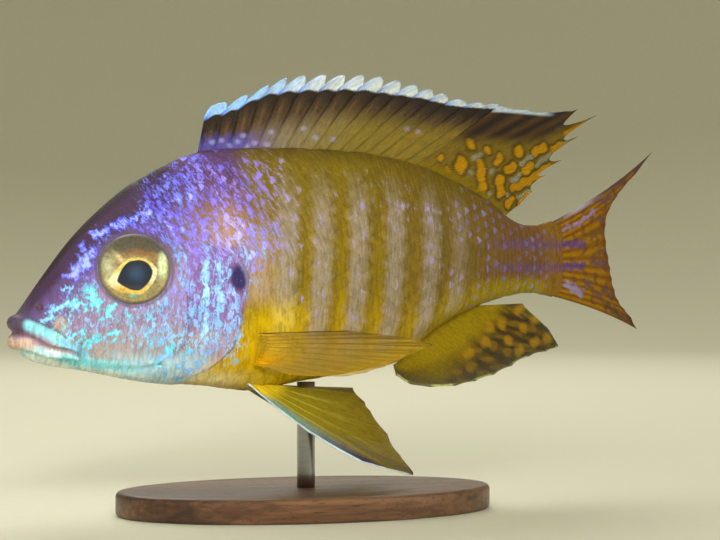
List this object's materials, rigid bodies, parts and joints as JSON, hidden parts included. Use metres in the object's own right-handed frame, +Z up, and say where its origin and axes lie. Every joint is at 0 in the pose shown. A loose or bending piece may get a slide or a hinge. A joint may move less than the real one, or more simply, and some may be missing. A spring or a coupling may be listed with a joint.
{
  "type": "peacock cichlid display model",
  "caption": "Life-size still model of a male peacock cichlid with spread fins and a gently bent tail, held over a flat oval base by one short rod.",
  "frame": {"origin": "centre of the model's box at the level of the base's underside", "axes": "+X from snout to tail, +Y to the fish's right, +Z up; the snout points to -X and the left flank to -Y"},
  "size_m": [0.124, 0.0418, 0.0731],
  "materials": {
    "skin": "scaled skin, wet satin sheen, violet and blue over golden yellow",
    "eye": "clear glossy dome over a golden iris",
    "fin": "thin membrane over rays, olive yellow with dark and orange marks",
    "base_wood": "turned walnut, satin oil",
    "rod_steel": "brushed"
  },
  "bodies": {
    "root": {"head": "skin", "lower_jaw": "skin", "upper_lip": "skin", "lower_lip": "skin", "eye_left": "eye", "eye_right": "eye", "gill_cover_left": "skin", "gill_cover_right": "skin", "trunk": "skin", "tail_stalk": "skin", "dorsal_spines": "fin", "dorsal_rays": "fin", "anal_fin": "fin", "tail_fin": "fin", "pelvic_fin_left": "fin", "pelvic_fin_right": "fin", "pectoral_fin_left": "fin", "pectoral_fin_right": "fin", "stand_base": "base_wood", "stand_rod": "rod_steel"}
  },
  "joints": []
}
